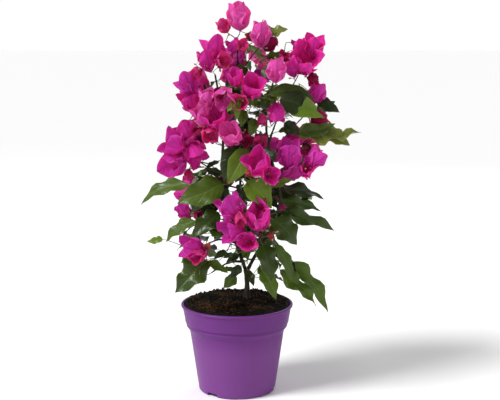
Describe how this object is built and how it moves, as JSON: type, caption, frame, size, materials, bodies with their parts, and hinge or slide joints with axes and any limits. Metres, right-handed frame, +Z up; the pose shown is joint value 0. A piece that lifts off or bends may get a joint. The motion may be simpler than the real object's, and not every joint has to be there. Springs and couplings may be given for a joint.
{
  "type": "potted bougainvillea bush",
  "caption": "Small bougainvillea bush with a slender forked trunk, a tall open crown of leaves and papery magenta bracts, in a round purple nursery pot.",
  "frame": {"origin": "centre of the pot's flat underside, on the surface that it stands on", "axes": "+Z up along the pot's axis, -Y towards the front of the bush, +X to the right seen from the front"},
  "size_m": [0.329, 0.2346, 0.585],
  "materials": {
    "pot": "satin",
    "soil": "matte",
    "bark": "matte",
    "leaf": "satin",
    "bract": "matte"
  },
  "bodies": {
    "root": {"pot": "pot", "soil": "soil", "trunk": "bark", "stem_centre": "bark", "stem_left": "bark", "stem_right": "bark", "bough_back_left": "bark", "bough_back_right": "bark", "bough_far_left": "bark", "bough_far_right": "bark", "bough_foot_left": "bark", "bough_foot_right": "bark", "bough_front": "bark", "bough_left_high": "bark", "bough_left_tip": "bark", "bough_lower_left": "bark", "bough_right_high": "bark", "bough_right_low": "bark", "bough_top_right": "bark", "bough_upper_right": "bark", "leaf_mass_back_1_1": "leaf", "leaf_mass_back_1_2": "leaf", "leaf_mass_back_1_3": "leaf", "leaf_mass_back_2_1": "leaf", "leaf_mass_back_2_2": "leaf", "leaf_mass_back_2_3": "leaf", "leaf_mass_back_4_1": "leaf", "leaf_mass_back_4_2": "leaf", "leaf_mass_far_left": "leaf", "leaf_mass_far_right": "leaf", "leaf_mass_foot_far_right": "leaf", "leaf_mass_foot_left": "leaf", "leaf_mass_foot_right": "leaf", "leaf_mass_front_centre": "leaf", "leaf_mass_front_left": "leaf", "leaf_mass_front_right": "leaf", "leaf_mass_left_low": "leaf", "leaf_mass_right_high": "leaf", "leaf_mass_right_low": "leaf", "leaf_mass_right_middle": "leaf", "bloom_mass_back_3_1": "bract", "bloom_mass_back_3_2": "bract", "bloom_mass_back_3_3": "bract", "bloom_mass_back_5_1": "bract", "bloom_mass_centre_right": "bract", "bloom_mass_far_left": "bract", "bloom_mass_front_low": "bract", "bloom_mass_front_middle": "bract", "bloom_mass_front_right": "bract", "bloom_mass_left_centre": "bract", "bloom_mass_left_high": "bract", "bloom_mass_lower_left": "bract", "bloom_mass_right_high": "bract", "bloom_mass_right_middle": "bract", "bloom_mass_top": "bract", "bloom_mass_top_right": "bract", "bloom_mass_upper_front": "bract", "bloom_mass_upper_left": "bract", "bloom_mass_upper_middle": "bract", "bloom_mass_upper_right": "bract"}
  },
  "joints": []
}
